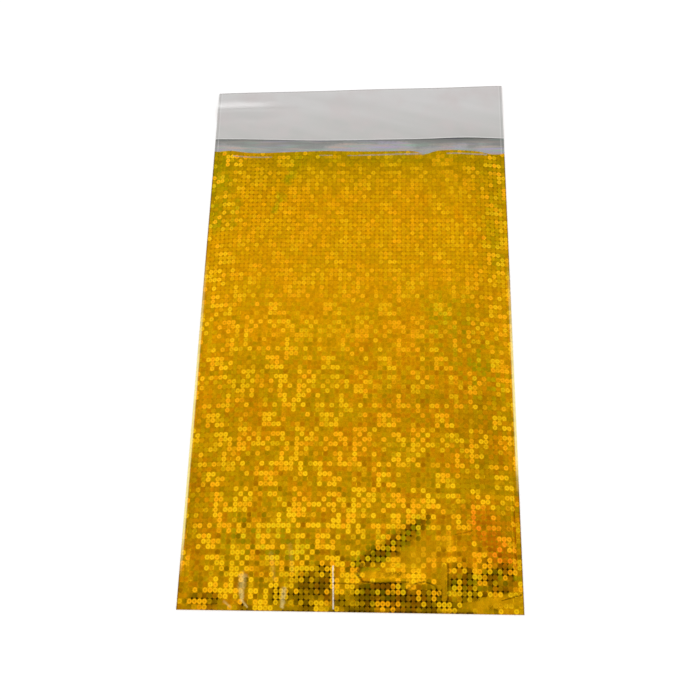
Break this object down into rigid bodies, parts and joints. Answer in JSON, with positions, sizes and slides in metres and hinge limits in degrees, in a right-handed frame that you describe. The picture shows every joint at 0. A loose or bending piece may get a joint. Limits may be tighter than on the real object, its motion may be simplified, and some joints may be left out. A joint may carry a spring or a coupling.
{
  "type": "poly mailer bag",
  "caption": "Flat foil-film mailing bag, folded at the bottom and welded at the sides, with an open mouth and a flap that carries an adhesive strip under a release liner.",
  "frame": {"origin": "middle of the bag's outline, at the outer face of the back panel that it lies on", "axes": "+X across the bag, +Y from the bottom fold to the flap's free edge, +Z out of the front panel"},
  "size_m": [0.16, 0.2952, 0.0062],
  "materials": {
    "foil_film": "gold metallised film embossed with a lattice of small round diffraction dots outside, plain silver inside",
    "adhesive": "clear tacky adhesive",
    "liner": "pale satin release film"
  },
  "bodies": {
    "root": {"film_bag": "foil_film", "adhesive_strip": "adhesive", "release_liner": "liner"}
  },
  "joints": []
}
